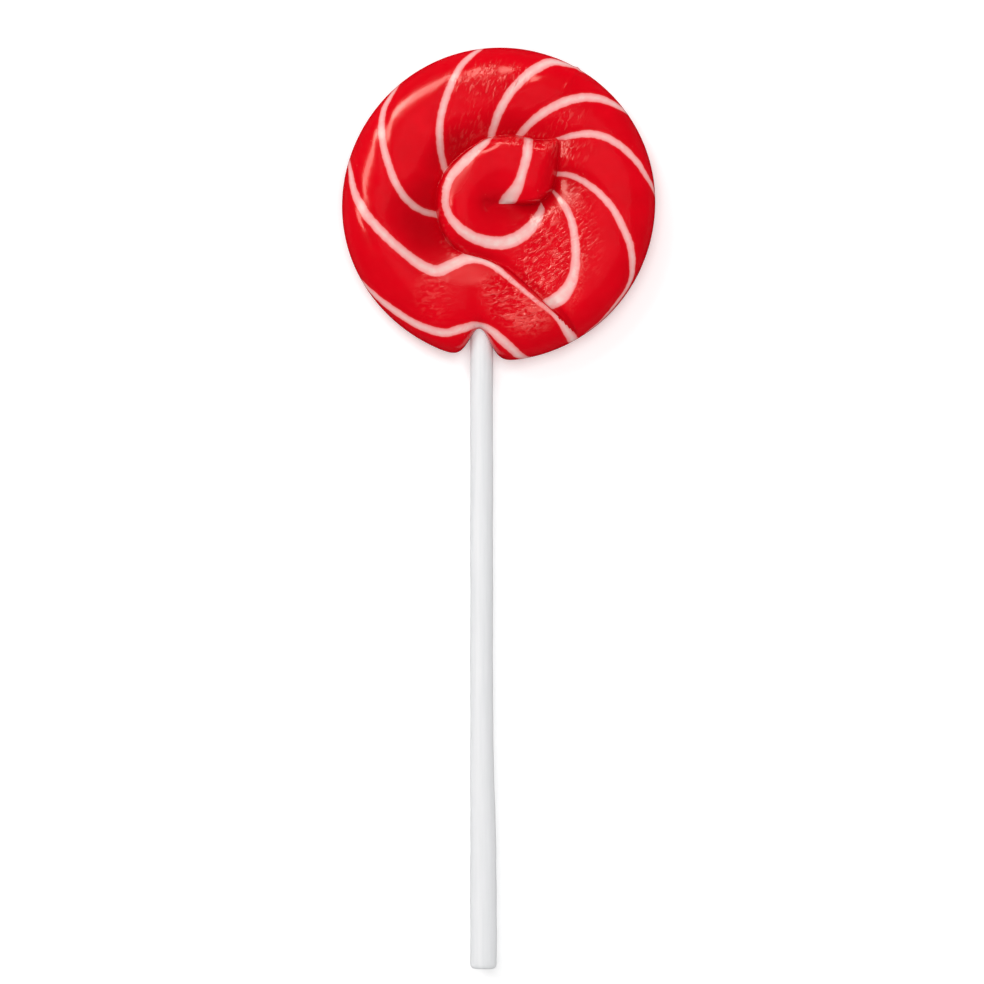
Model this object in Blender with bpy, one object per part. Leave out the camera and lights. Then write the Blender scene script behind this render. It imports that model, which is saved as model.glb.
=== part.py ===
"""Swirl lollipop, lying on its flat back with the swirl up.

A thick striped rope of boiled sugar is coiled clockwise from a pointed tip at the rim. After one turn it
climbs onto the inside of that turn, passes a soft valley, and ends as a raised knob that is folded over its
own start. The stick was pushed in along +Y, which left a notch in the rim and a low arch over the stick.

Frame: metres, +Z up, +Y towards the candy, origin under the middle of the whole lollipop.
Heights and radii below are in millimetres from the middle of the candy, angles in degrees counter-clockwise
from +X as seen from above.
"""

import math

import bmesh
import bpy
import numpy as np
from mathutils import Vector
from mathutils.geometry import delaunay_2d_cdt

MM = 0.001

# Candy
DISC_X, DISC_Y = 0.235, 53.7
DISC_R = 27.45                   # outer radius of the coil
RIM_Z = 4.6                      # height of the widest part of the rim
CREST_Z = 9.4                    # crest of the first turn
KNOB_Z = 10.4                    # crest of the knob
PIVOT_Z = 9.1                    # bottom of the small hollow that the rope's end turns about
VALLEY_Z = 8.35                  # lowest part of the second turn beside the knob
CREST_IN = 7.6                   # the first turn's crest lies this far in from the rim
TIP_DEG = 301.0                  # the rope's outer tip
FLAT_DEG, FLAT_Y = 47.3, 11.65   # the knob's straight upper side: where it ends, and how far up it lies
CUT_X, CUT_LOW = 10.3, 3.4       # the rope's cut end: how far right, and its lower corner
BACK_IN = 5.6                    # the flat back starts this far in from the rim
BACK_GROOVE = 0.45               # depth of the coil's line on the back

# Notch that the stick pushed into the soft rope
NOTCH_DEPTH, NOTCH_HALF, NOTCH_X = 5.3, 2.55, -3.6
NOTCH_REACH = 23.0
ARCH_H, ARCH_HALF = 0.55, 2.7    # low arch over the stick

# Stick
STICK_X, STICK_Z = -3.0, 4.7     # its axis
STICK_R = 2.0
STICK_END_Y = -81.2
STICK_IN_Y = 43.5                # its inner end, inside the candy
FLARE_FROM_Y, FLARE_TO_Y = -33.0, -69.0
FLARE_W = 0.66                   # how much wider the lower end is, all on its right side
GAP = 0.3

TURN_STEPS = 92                  # steps round the candy, closer together at the notch
STICK_SIDES = 24


def wave(th, *terms):
    """Sum of bumps round the coil, each (height, middle, half-width in degrees)."""
    total = 0 * th
    for h, c, w in terms:
        total = total + h * np.exp(-((((th - c + 180.0) % 360.0) - 180.0) / w) ** 2)
    return total


def smooth(a, b, x):
    t = np.clip((x - a) / (b - a), 0, 1)
    return t * t * (3 - 2 * t)


def rise(v, n=2.0):
    """Quarter of a superellipse: upright at v = 0, level from v = 1 on."""
    return (1 - (1 - np.clip(v, 0, 1)) ** n) ** (1 / n)


def outline(th):
    return DISC_R + wave(th, (0.50, 200, 40), (0.30, 262, 30), (-0.12, 345, 25))


def seam(th):
    """Radius of the step where the second turn lies on the first, from FLAT_DEG up to TIP_DEG."""
    phi = TIP_DEG - th
    turn = 11.25 + 16.2 * np.exp(-phi / 10.4) + 0.6 * np.exp(-(((phi - 60) / 28.0) ** 2))
    turn = turn - 0.35 * np.exp(-(((th - 131) / 18.0) ** 2))
    flat = FLAT_Y / np.sin(np.radians(np.clip(th, 30, 150)))
    return turn + (flat - turn) * smooth(112, 94, th)


def edge_curve(n=240):
    """The second turn's visible edge. Rows are x, y and a part number: 0 to 1 along the seam from the rim in,
    1 to 2 down the cut end, 2 to 3 along the fold, back to the pivot."""
    rows = []
    along, down = int(n * 0.62), int(n * 0.14)
    for i in range(along + 1):
        t = i / along
        th = TIP_DEG - (TIP_DEG - FLAT_DEG) * t**1.25
        rows.append((seam(th) * math.cos(math.radians(th)), seam(th) * math.sin(math.radians(th)), t))
    x0, y0 = rows[-1][:2]
    for i in range(1, down + 1):
        t = i / down
        rows.append((CUT_X - t**2.2 + (x0 - CUT_X) * (1 - t) ** 6, y0 + (CUT_LOW - y0) * t, 1 + t))
    x1, y1 = rows[-1][:2]
    fold = n - along - down
    for i in range(1, fold + 1):
        x = x1 * (1 - i / fold)
        rows.append((x, -0.15 + (y1 + 0.15) * max((x - 1.6) / (x1 - 1.6), 0) ** 1.7, 2 + i / fold))
    rows = np.array(rows)
    for _ in range(14):                                    # rounds the two corners of the cut end
        rows[1:-1] += 0.25 * (rows[:-2] - 2 * rows[1:-1] + rows[2:])
    return rows


EDGE = edge_curve()


def from_edge(x, y):
    """(signed distance, part number) of each point from the second turn's edge, positive on the second turn."""
    p = np.stack([x.ravel(), y.ravel()], 1)
    a, b = EDGE[:-1], EDGE[1:]
    run = (b - a)[:, :2]
    t = ((p[:, None] - a[None, :, :2]) * run).sum(2) / (run**2).sum(1)
    t = np.clip(t, 0, 1)
    away = np.sqrt(((p[:, None] - a[None, :, :2] - t[..., None] * run) ** 2).sum(2))
    k = away.argmin(1)
    rows = np.arange(len(p))
    part = a[k, 2] + t[rows, k] * (b[k, 2] - a[k, 2])
    here, after = EDGE[:, :2], np.roll(EDGE[:, :2], -1, axis=0)
    drop = after[:, 1] - here[:, 1]
    at = here[:, 0] + (after[:, 0] - here[:, 0]) * (p[:, 1:2] - here[:, 1]) / np.where(drop == 0, 1e-9, drop)
    crossed = ((here[:, 1] > p[:, 1:2]) != (after[:, 1] > p[:, 1:2])) & (p[:, :1] < at)
    sign = np.where(crossed.sum(1) % 2 == 1, 1.0, -1.0)
    return (sign * away[rows, k]).reshape(x.shape), part.reshape(x.shape)


def push(x, y):
    """How far the stick moved the soft rope along +Y at (x, y)."""
    t = np.clip((y + DISC_R) / NOTCH_REACH, 0, 1)
    deep = NOTCH_DEPTH * (1 - smooth(0.0, 1.0, t)) ** 0.75
    half = NOTCH_HALF + 3.0 * smooth(0.0, 0.6, t)
    middle = NOTCH_X - 0.7 * smooth(0.0, 0.6, t)
    return deep * np.exp(-(((x - middle) / half) ** 2))


def over_stick(x, y):
    """1 on the stick's line at the rim, fading to the sides and inwards."""
    return np.exp(-(((x - STICK_X) / ARCH_HALF) ** 2)) * smooth(-8.0, -17.0, y)


def first_turn(x, y, r, th, inward):
    """Round steep rim, broad crest, then a slope to the inside. Where inward is 0 the slope runs gently on to the
    pivot, and where it is 1 it steepens down to the seam."""
    d = outline(th) - r
    crest_in = CREST_IN + wave(th, (0.6, 120, 50), (-1.6, 300, 28))
    crest = CREST_Z + wave(th, (0.35, 305, 40), (-0.2, 20, 60))
    up = RIM_Z + (crest - RIM_Z) * rise(d / crest_in, 2.0 + 1.3 * over_stick(x, y))
    inside = d - crest_in
    steep = crest - (1.55 + wave(th, (-0.4, 30, 40), (-0.8, 290, 30))) * np.clip(inside / 8.6, 0, 1.6) ** 1.7
    gentle = crest - (crest - VALLEY_Z) * smooth(1.0, 10.5, inside) + (PIVOT_Z - VALLEY_Z) * smooth(8.0, 0.0, r)
    return np.where(inside < 0, up, gentle + (steep - gentle) * inward)


def top(x, y):
    """Height of the swirl's side, for points of the rope before the stick moved it."""
    th = np.degrees(np.arctan2(y, x)) % 360
    r = np.hypot(x, y)
    d, part = from_edge(x, y)
    turned = (th + 360 - TIP_DEG) % 360 + TIP_DEG - 360       # from the tip's far side round to the tip
    inward = smooth(-5, 35, turned) * smooth(5.5, 10.0, r) * smooth(TIP_DEG - 6, TIP_DEG - 30, turned)
    outer = first_turn(x, y, r, th, inward)
    second = first_turn(x, y, r, th, 0.0)
    knob = PIVOT_Z + (KNOB_Z + wave(th, (-0.5, 262, 45)) - PIVOT_Z) * smooth(0.0, 6.6, r)
    second = second + (knob - second) * smooth(TIP_DEG - 2, TIP_DEG - 90, (th + 30) % 360 - 30)
    depth = np.interp(part, [0, 0.25, 0.45, 0.75, 1, 2, 2.35, 2.8, 3], [0.3, 0.9, 1.5, 3.3, 3.4, 3.2, 2.6, 0.5, 0.0])
    width = np.interp(part, [0, 0.3, 0.5, 0.65, 0.9, 1, 2, 3], [1.6, 2.8, 3.6, 3.6, 3.4, 3.2, 3.2, 2.6])
    second = second - depth * (1 - rise(d / width))
    z = np.where(d > 0, np.maximum(second, outer - 1.8 * d), outer)
    groove = np.interp(part, [0, 0.15, 0.4, 0.6, 1, 2, 2.7, 3], [0.25, 0.3, 0.35, 0.25, 0.2, 0.25, 0.1, 0.0])
    return z - groove * np.exp(-np.abs(d) / 0.8) + ARCH_H * over_stick(x, y) * rise((outline(th) - r) / 3.0)


def bottom(x, y):
    """Height of the back: round rim, flat, with the coil's line as a shallow groove."""
    th = np.degrees(np.arctan2(y, x)) % 360
    d = outline(th) - np.hypot(x, y)
    z = RIM_Z * (1 - rise(d / BACK_IN, 2.2 + 1.1 * over_stick(x, y)))
    away, part = from_edge(x, y)
    on_seam = smooth(1.0, 0.94, part) * smooth(0.02, 0.2, part)
    return z + BACK_GROOVE * on_seam * np.exp(-((away / 1.1) ** 2)) * smooth(3.0, 6.0, d)


def turn_angles():
    """Angles round the candy, in degrees, three times as close at the notch as elsewhere."""
    fine = np.linspace(0, 360, 2881)
    load = np.cumsum(1 + wave(fine, (2.2, 262, 13)))
    load = (load - load[0]) / (load[-1] - load[0])
    return np.interp(np.arange(TURN_STEPS) / TURN_STEPS, load, fine)


def seeds(reach, spacing, offsets):
    """Points in staggered rings that fill the coil out to reach, leaving free the strip that the offset rows fill."""
    out = []
    count = int(reach / spacing)
    for k in range(count):
        r = reach * (k + 0.35) / count
        n = max(5, round(2 * math.pi * r / spacing))
        for i in range(n):
            a = 2 * math.pi * (i + 0.5 * (k % 2)) / n
            out.append((r * math.cos(a), r * math.sin(a)))
    out = np.array(out)
    away, _ = from_edge(out[:, 0], out[:, 1])
    return out[(away > max(offsets) + 0.6 * spacing) | (away < min(offsets) - 0.6 * spacing)]


def beside_edge(reach, offsets, spacing):
    """Rows of points that follow the edge curve at these signed distances, kept inside reach."""
    line = EDGE[:, :2]
    along = np.concatenate([[0], np.cumsum(np.hypot(*np.diff(line, axis=0).T))])
    at = np.linspace(0, along[-1], int(along[-1] / spacing) + 1)
    x, y = np.interp(at, along, line[:, 0]), np.interp(at, along, line[:, 1])
    slope = np.hypot(np.gradient(x), np.gradient(y))
    inward = np.stack([np.gradient(y) / slope, -np.gradient(x) / slope], 1)
    rows = []
    for offset in offsets:
        p = np.stack([x, y], 1) + offset * inward
        away, _ = from_edge(p[:, 0], p[:, 1])
        fits = (np.hypot(p[:, 0], p[:, 1]) < reach) & (np.abs(away - offset) < 0.1)
        rows.append((p, fits))
    return rows


def new_object(name, bm, material, smooth_angle):
    mesh = bpy.data.meshes.new(name)
    bmesh.ops.recalc_face_normals(bm, faces=bm.faces)
    bm.to_mesh(mesh)
    bm.free()
    mesh.shade_smooth()
    mesh.set_sharp_from_angle(angle=math.radians(smooth_angle))
    mesh.materials.append(material)
    obj = bpy.data.objects.new(name, mesh)
    bpy.context.scene.collection.objects.link(obj)
    return obj


def finish(name, colour, roughness):
    made = bpy.data.materials.new(name)
    made.use_nodes = True
    shader = made.node_tree.nodes["Principled BSDF"]
    shader.inputs["Base Color"].default_value = (*colour, 1)
    shader.inputs["Roughness"].default_value = roughness
    shader.inputs["Metallic"].default_value = 0.0
    return made


def candy():
    bm = bmesh.new()
    th = turn_angles()
    cos, sin = np.cos(np.radians(th)), np.sin(np.radians(th))

    def placed(x, y, height):
        z, y = height(x, y), y + push(x, y)
        return [bm.verts.new(((DISC_X + a) * MM, (DISC_Y + b) * MM, c * MM)) for a, b, c in zip(x, y, z)]

    def side(rim, height, depths, offsets, spacing):
        """Rings in from the rim, then a net that has the edge curve among its lines."""
        last = rim
        for depth in depths:
            r = outline(th) - depth
            ring = placed(r * cos, r * sin, height)
            for i in range(TURN_STEPS):
                k = (i + 1) % TURN_STEPS
                bm.faces.new((last[i], last[k], ring[k], ring[i]))
            last = ring
        r = outline(th) - depths[-1]
        points = [Vector((a, b)) for a, b in zip(r * cos, r * sin)]
        lines = []
        reach = float(r.min()) - 0.55 * spacing
        for p, fits in beside_edge(reach, offsets, 0.95):
            before = None
            for (a, b), fit in zip(p, fits):
                if fit:
                    points.append(Vector((a, b)))
                    if before is not None:
                        lines.append((before, before + 1))
                before = len(points) - 1 if fit else None
        points += [Vector((a, b)) for a, b in seeds(reach, spacing, offsets)]
        ring_face = [list(range(TURN_STEPS))]
        flat, _, faces, origin, _, _ = delaunay_2d_cdt(points, lines, ring_face, 1, 1e-5)
        x, y = np.array([p[0] for p in flat]), np.array([p[1] for p in flat])
        z, moved = height(x, y), y + push(x, y)
        verts = []
        for i, sources in enumerate(origin):
            on_ring = [k for k in sources if k < TURN_STEPS]
            verts.append(
                last[on_ring[0]]
                if on_ring
                else bm.verts.new(((DISC_X + x[i]) * MM, (DISC_Y + moved[i]) * MM, z[i] * MM))
            )
        for face in faces:
            bm.faces.new([verts[i] for i in face])

    radius = outline(th)
    rim = placed(radius * cos, radius * sin, lambda x, y: RIM_Z + 0 * x)
    side(rim, top, [0.12, 0.45, 1.0, 1.8, 2.8, 4.1], (0.0, 0.5, 1.2, 2.3, -0.6, -1.5), 1.2)
    side(rim, bottom, [0.12, 0.45, 1.0, 1.9, 3.1, 4.4, 5.7], (0.0, 1.2, -1.2), 2.8)
    return bm


def tube(sections, sides):
    """Closed tube along Y through sections of (y, middle x, half-width, half-height)."""
    bm = bmesh.new()
    last = None
    for y, x, half_w, half_h in sections:
        ring = []
        for i in range(sides):
            a = 2 * math.pi * i / sides
            ring.append(bm.verts.new(((x + half_w * math.cos(a)) * MM, y * MM, (STICK_Z + half_h * math.sin(a)) * MM)))
        if last is None:
            bm.faces.new(ring)
        else:
            for i in range(sides):
                bm.faces.new((last[i], last[(i + 1) % sides], ring[(i + 1) % sides], ring[i]))
        last = ring
    bm.faces.new(last)
    return bm


def stick_sections():
    """Straight rod, a little wider to the right towards its lower end, with softened ends."""
    out = [(STICK_IN_Y, STICK_X, STICK_R - 0.35, STICK_R - 0.35), (STICK_IN_Y - 0.4, STICK_X, STICK_R, STICK_R)]
    for i in range(15):
        y = STICK_IN_Y - 1.0 + (STICK_END_Y + 1.5 - STICK_IN_Y + 1.0) * i / 14
        wider = FLARE_W * float(smooth(FLARE_FROM_Y, FLARE_TO_Y, y))
        out.append((y, STICK_X + wider / 2, STICK_R + wider / 2, STICK_R))
    for back, less in ((0.9, 0.12), (0.4, 0.4), (0.0, 1.0)):
        half = STICK_R + FLARE_W / 2 - less * 0.8
        out.append((STICK_END_Y + back, STICK_X + FLARE_W / 2 - less * 0.35, half, STICK_R - less * 0.6))
    return out


def main():
    for old in list(bpy.data.objects):
        bpy.data.objects.remove(old, do_unlink=True)

    red = finish("boiled_sugar_red", (0.64, 0.004, 0.012), 0.25)
    white = finish("stick_white", (0.85, 0.85, 0.88), 0.5)

    swirl = new_object("candy_swirl", candy(), red, 50)
    stick = new_object("stick", tube(stick_sections(), STICK_SIDES), white, 35)

    # Socket for the stick: clear of it all round, and open at the notch.
    bore = STICK_R + GAP
    cutter = new_object(
        "socket_cutter",
        tube([(STICK_IN_Y + GAP, STICK_X, bore, bore), (DISC_Y - DISC_R - 4.0, STICK_X, bore, bore)], STICK_SIDES),
        red,
        35,
    )
    cutter.hide_render = True
    cutter.display_type = "WIRE"
    cut = swirl.modifiers.new("socket", "BOOLEAN")
    cut.operation = "DIFFERENCE"
    cut.solver = "EXACT"
    cut.object = cutter

    holder = bpy.data.objects.new("lollipop", None)
    bpy.context.scene.collection.objects.link(holder)
    for piece in (swirl, stick, cutter):
        piece.parent = holder


main()
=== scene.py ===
"""Looks of the swirl lollipop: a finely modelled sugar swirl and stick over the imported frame, a pale floor,
soft studio light, and a camera that looks straight down.

Lengths in the candy functions are millimetres from the middle of the candy, angles degrees counter-clockwise
from +X as seen from above.
"""

import math

import bpy
import numpy as np
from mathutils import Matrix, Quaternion, Vector
from mathutils.geometry import delaunay_2d_cdt


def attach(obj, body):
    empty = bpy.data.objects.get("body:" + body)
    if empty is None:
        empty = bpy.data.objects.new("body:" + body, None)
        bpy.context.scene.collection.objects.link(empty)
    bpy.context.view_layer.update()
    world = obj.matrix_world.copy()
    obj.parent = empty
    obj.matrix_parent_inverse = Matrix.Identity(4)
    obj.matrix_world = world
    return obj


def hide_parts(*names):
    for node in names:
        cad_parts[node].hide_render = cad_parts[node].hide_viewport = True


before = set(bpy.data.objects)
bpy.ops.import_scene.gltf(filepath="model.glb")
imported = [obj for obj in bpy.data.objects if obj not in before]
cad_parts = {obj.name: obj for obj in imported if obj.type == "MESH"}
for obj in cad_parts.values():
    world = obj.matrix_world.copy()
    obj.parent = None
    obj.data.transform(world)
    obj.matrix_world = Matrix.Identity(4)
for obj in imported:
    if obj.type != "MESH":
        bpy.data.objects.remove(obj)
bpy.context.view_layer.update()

MM = 0.001
DISC_X, DISC_Y = 0.235, 53.7
DISC_R, RIM_Z, CREST_Z, KNOB_Z, PIVOT_Z, VALLEY_Z = 27.45, 4.6, 9.4, 10.4, 9.1, 8.35
CREST_IN, TIP_DEG, FLAT_DEG, FLAT_Y, CUT_X, CUT_LOW = 7.6, 301.0, 47.3, 11.65, 10.4, 2.4
PIVOT_X = -1.4
BACK_IN, BACK_GROOVE = 5.6, 0.45
NOTCH_DEPTH, NOTCH_HALF, NOTCH_X, NOTCH_REACH = 5.3, 2.55, -3.6, 23.0
ARCH_H, ARCH_HALF = 0.55, 2.7
STICK_X, STICK_Z, STICK_R, STICK_END_Y, STICK_IN_Y = -3.0, 4.7, 2.0, -81.2, 43.5
FLARE_FROM_Y, FLARE_TO_Y, FLARE_W = -33.0, -69.0, 0.66

TURN_STEPS = 640
NET = 0.29                     # spacing of the top's net


# ---------------------------------------------------------------- form of the candy

def wave(th, *terms):
    total = 0 * th
    for h, c, w in terms:
        total = total + h * np.exp(-((((th - c + 180.0) % 360.0) - 180.0) / w) ** 2)
    return total


def smooth(a, b, x):
    t = np.clip((x - a) / (b - a), 0, 1)
    return t * t * (3 - 2 * t)


def rise(v, n=2.0):
    return (1 - (1 - np.clip(v, 0, 1)) ** n) ** (1 / n)


def outline(th):
    return DISC_R + wave(th, (0.50, 200, 40), (0.30, 262, 30), (-0.12, 345, 25), (0.22, 60.2, 0.9))


def seam(th):
    phi = TIP_DEG - th
    turn = 11.25 + 16.2 * np.exp(-phi / 10.4) + 0.6 * np.exp(-(((phi - 60) / 28.0) ** 2))
    turn = turn - 0.35 * np.exp(-(((th - 131) / 18.0) ** 2))
    flat = (FLAT_Y + wave(th, (0.3, 81, 8), (-0.75, 57, 8))) / np.sin(np.radians(np.clip(th, 30, 150)))
    return turn + (flat - turn) * smooth(112, 94, th)


def fold_y(x, x1=CUT_X, y1=CUT_LOW):
    """The fold's line, from the cut end back to the pivot."""
    return -0.3 + (y1 + 0.3) * np.clip((x - 1.6) / (x1 - 1.6), 0, 1) ** 4.5


def edge_curve(n=240):
    """The second turn's visible edge: 0 to 1 along the seam from the rim in, 1 to 2 down the cut end, 2 to 3 along
    the fold, back to the pivot."""
    rows = []
    along, down = int(n * 0.62), int(n * 0.14)
    for i in range(along + 1):
        t = i / along
        th = TIP_DEG - (TIP_DEG - FLAT_DEG) * t**1.25
        rows.append((seam(th) * math.cos(math.radians(th)), seam(th) * math.sin(math.radians(th)), t))
    x0, y0 = rows[-1][:2]
    for i in range(1, down + 1):
        t = i / down
        rows.append((CUT_X - t**2.2 + (x0 - CUT_X) * (1 - t) ** 6, y0 + (CUT_LOW - y0) * t, 1 + t))
    x1, y1 = rows[-1][:2]
    fold = n - along - down
    for i in range(1, fold + 1):
        x = x1 + (PIVOT_X - x1) * i / fold
        rows.append((x, fold_y(x, x1, y1), 2 + i / fold))
    rows = np.array(rows)
    for _ in range(8):
        rows[1:-1] += 0.25 * (rows[:-2] - 2 * rows[1:-1] + rows[2:])
    return rows


EDGE = edge_curve()


def from_edge(x, y):
    """(signed distance, part number) from the second turn's edge, positive on the second turn."""
    a, b = EDGE[:-1], EDGE[1:]
    run = (b - a)[:, :2]
    length2 = (run**2).sum(1)
    here, after = EDGE[:, :2], np.roll(EDGE[:, :2], -1, axis=0)
    drop = after[:, 1] - here[:, 1]
    drop = np.where(drop == 0, 1e-9, drop)
    away_all, part_all = [], []
    flat = np.stack([np.ravel(x), np.ravel(y)], 1)
    for start in range(0, len(flat), 6000):
        p = flat[start : start + 6000]
        t = np.clip(((p[:, None] - a[None, :, :2]) * run).sum(2) / length2, 0, 1)
        gap = ((p[:, None] - a[None, :, :2] - t[..., None] * run) ** 2).sum(2)
        k = gap.argmin(1)
        rows = np.arange(len(p))
        part_all.append(a[k, 2] + t[rows, k] * (b[k, 2] - a[k, 2]))
        at = here[:, 0] + (after[:, 0] - here[:, 0]) * (p[:, 1:2] - here[:, 1]) / drop
        crossed = ((here[:, 1] > p[:, 1:2]) != (after[:, 1] > p[:, 1:2])) & (p[:, :1] < at)
        sign = np.where(crossed.sum(1) % 2 == 1, 1.0, -1.0)
        away_all.append(sign * np.sqrt(gap[rows, k]))
    shape = np.shape(x)
    return np.concatenate(away_all).reshape(shape), np.concatenate(part_all).reshape(shape)


def push(x, y):
    """How far the stick moved the soft rope along +Y."""
    t = np.clip((y + DISC_R) / NOTCH_REACH, 0, 1)
    deep = NOTCH_DEPTH * (1 - smooth(0.0, 1.0, t)) ** 0.75
    half = NOTCH_HALF + 3.0 * smooth(0.0, 0.6, t)
    middle = NOTCH_X - 0.7 * smooth(0.0, 0.6, t)
    return deep * np.exp(-(((x - middle) / half) ** 2))


def before_push(x, y):
    back = y - push(x, y)
    for _ in range(30):
        back = back + 0.6 * (y - back - push(x, back))
    return back


def over_stick(x, y):
    return np.exp(-(((x - STICK_X) / ARCH_HALF) ** 2)) * smooth(-12.5, -19.0, y)


def first_turn(x, y, r, th, inward):
    d = outline(th) - r
    crest_in = CREST_IN + wave(th, (0.6, 120, 50), (-1.6, 300, 28), (-1.7, 0, 38))
    crest = CREST_Z + wave(th, (0.35, 305, 40), (-0.2, 20, 60))
    up = RIM_Z + (crest - RIM_Z) * rise(d / crest_in, 2.0 + wave(th, (0.4, 0, 40)) + 1.3 * over_stick(x, y))
    inside = d - crest_in
    steep = crest - (0.85 + wave(th, (-0.2, 30, 40), (-0.5, 290, 30))) * np.clip(inside / 8.6, 0, 1.6) ** 1.7
    gentle = crest - (crest - VALLEY_Z) * smooth(1.0, 10.5, inside) + (PIVOT_Z - VALLEY_Z) * smooth(8.0, 0.0, r)
    return np.where(inside < 0, up, gentle + (steep - gentle) * inward)


# How deep the first turn dips beside the second turn's edge and how far out the dip reaches, along the edge.
DIP_AT = [0, 0.2, 0.3, 0.43, 0.55, 0.63, 0.73, 0.82, 0.91, 1.0, 1.4, 2.0, 2.35, 2.6, 3]
DIP = [0, 0.1, 0.3, 1.85, 2.0, 1.4, 1.8, 1.4, 1.3, 0.9, 0.6, 1.4, 0.6, 0, 0]
DIP_REACH = [2, 3.5, 7.5, 9.3, 9.5, 5.0, 6.5, 6.0, 5.5, 4.5, 3.0, 5.5, 4, 4, 4]
# Dents of the soft rope: x, y, half length, half width, turn, depth.
DENTS = [(-15.2, -4.2, 5.0, 3.6, -42, 0.9), (-8.2, 9.8, 3.8, 2.3, 35, 0.6), (12.6, 3.3, 3.6, 2.2, 0, 0.5)]


def hollow(x, y):
    """The dip under the fold, fading out round the pivot."""
    below = y - fold_y(x)
    tall = np.where(below < 0, 3.0, 1.5)
    return 1.55 * np.exp(-((below / tall) ** 2)) * np.exp(-((np.abs(x - 2.6) / 5.6) ** 3.4))


def dents(x, y):
    total = 0 * x
    for cx, cy, a, b, turn, depth in DENTS:
        c, s = math.cos(math.radians(turn)), math.sin(math.radians(turn))
        u, v = (x - cx) * c + (y - cy) * s, (y - cy) * c - (x - cx) * s
        total = total + depth * np.exp(-((u / a) ** 2) - (v / b) ** 2)
    return total


def top(x, y):
    """Height of the swirl's side, for points of the rope before the stick moved it."""
    th = np.degrees(np.arctan2(y, x)) % 360
    r = np.hypot(x, y)
    d, part = from_edge(x, y)
    turned = (th + 360 - TIP_DEG) % 360 + TIP_DEG - 360
    inward = smooth(-5, 35, turned) * smooth(5.5, 10.0, r) * smooth(TIP_DEG - 6, TIP_DEG - 30, turned)
    outer = first_turn(x, y, r, th, inward)
    second = first_turn(x, y, r, th, 0.0)
    knob = PIVOT_Z + (KNOB_Z + wave(th, (-0.5, 262, 45)) - PIVOT_Z) * smooth(0.0, 6.6, r)
    second = second + (knob - second) * smooth(TIP_DEG - 2, TIP_DEG - 90, (th + 30) % 360 - 30)
    reach = np.interp(part, DIP_AT, DIP_REACH)
    outer = outer - np.interp(part, DIP_AT, DIP) * np.clip(1 - np.abs(d) / reach, 0, 1) ** 1.8
    under = hollow(x, y)
    outer = outer - under - dents(x, y)
    second = second - under * smooth(2.5, 2.95, part)
    depth = np.interp(part, [0, 0.12, 0.25, 0.45, 0.75, 1, 2, 2.35, 2.8, 3], [0.5, 0.9, 1.3, 1.6, 3.3, 3.4, 3.2, 2.6, 0.5, 0.0])
    depth = np.maximum(depth, second - outer + 0.02)
    width = np.interp(part, [0, 0.3, 0.42, 0.6, 0.75, 0.84, 1, 2, 3], [1.6, 2.6, 3.0, 2.9, 2.6, 1.8, 1.7, 2.6, 2.6])
    flank = rise(d / width)
    flank = flank + (smooth(0.0, 1.0, d / 2.1) - flank) * smooth(0.42, 0.34, part)
    lifted = np.maximum(second - depth * (1 - flank), outer - 1.8 * d)
    # The cut end rolls down evenly, and the fold's brow is tight.
    v = np.clip(d / np.interp(part, [1, 1.8, 2.1, 3], [2.4, 2.1, 1.3, 1.1]), 0, 1)
    brow = smooth(2.1, 2.3, part)
    rolled = outer + (second - outer) * (brow * rise(v) + (1 - brow) * (1 - (1 - v) ** 2))
    lifted = lifted + (rolled - lifted) * smooth(0.93, 1.04, part)
    z = np.where(d > 0, lifted, outer)
    groove = np.interp(part, [0, 0.15, 0.35, 0.45, 0.8, 1.05, 2, 2.3, 2.8, 3], [0.22, 0.25, 0.25, 0.06, 0.05, 0.06, 0.08, 0.08, 0.04, 0.0])
    near = np.interp(part, [0, 1, 2, 3], [0.5, 0.5, 0.8, 0.7])
    return z - groove * np.exp(-np.abs(d) / near) + ARCH_H * over_stick(x, y) * rise((outline(th) - r) / 3.0)


def bottom(x, y):
    """Height of the back."""
    th = np.degrees(np.arctan2(y, x)) % 360
    d = outline(th) - np.hypot(x, y)
    z = RIM_Z * (1 - rise(d / BACK_IN, 2.2 + 1.1 * over_stick(x, y)))
    away, part = from_edge(x, y)
    on_seam = smooth(1.0, 0.94, part) * smooth(0.02, 0.2, part)
    return z + BACK_GROOVE * on_seam * np.exp(-((away / 1.1) ** 2)) * smooth(3.0, 6.0, d)


# ---------------------------------------------------------------- stripes

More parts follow.
